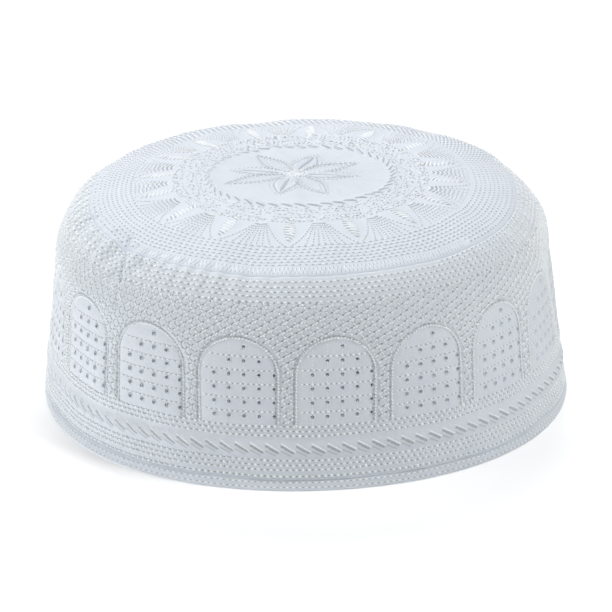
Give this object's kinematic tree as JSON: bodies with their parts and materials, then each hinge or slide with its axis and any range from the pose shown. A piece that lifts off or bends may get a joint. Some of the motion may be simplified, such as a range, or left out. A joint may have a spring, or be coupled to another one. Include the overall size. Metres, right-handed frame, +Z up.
{
  "type": "prayer cap",
  "caption": "Round, low soft cap with a tall stitched side band, a soft rounded shoulder, a nearly flat crown and a turned hem.",
  "frame": {"origin": "middle of the cap's footprint, on the plane that its rim rests on", "axes": "+Z up through the crown; the pictured front faces -Y, with +X to the right"},
  "size_m": [0.1835, 0.184, 0.0793],
  "materials": {
    "hem_cloth": "matt white cotton, stitched hem",
    "band_cloth": "matt white cotton with a slight satin sheen, quilted and embroidered",
    "crown_cloth": "matt white cotton with a slight satin sheen, quilted and embroidered"
  },
  "bodies": {
    "root": {"rim_hem": "hem_cloth", "side_band": "band_cloth", "crown_top": "crown_cloth"}
  },
  "joints": []
}
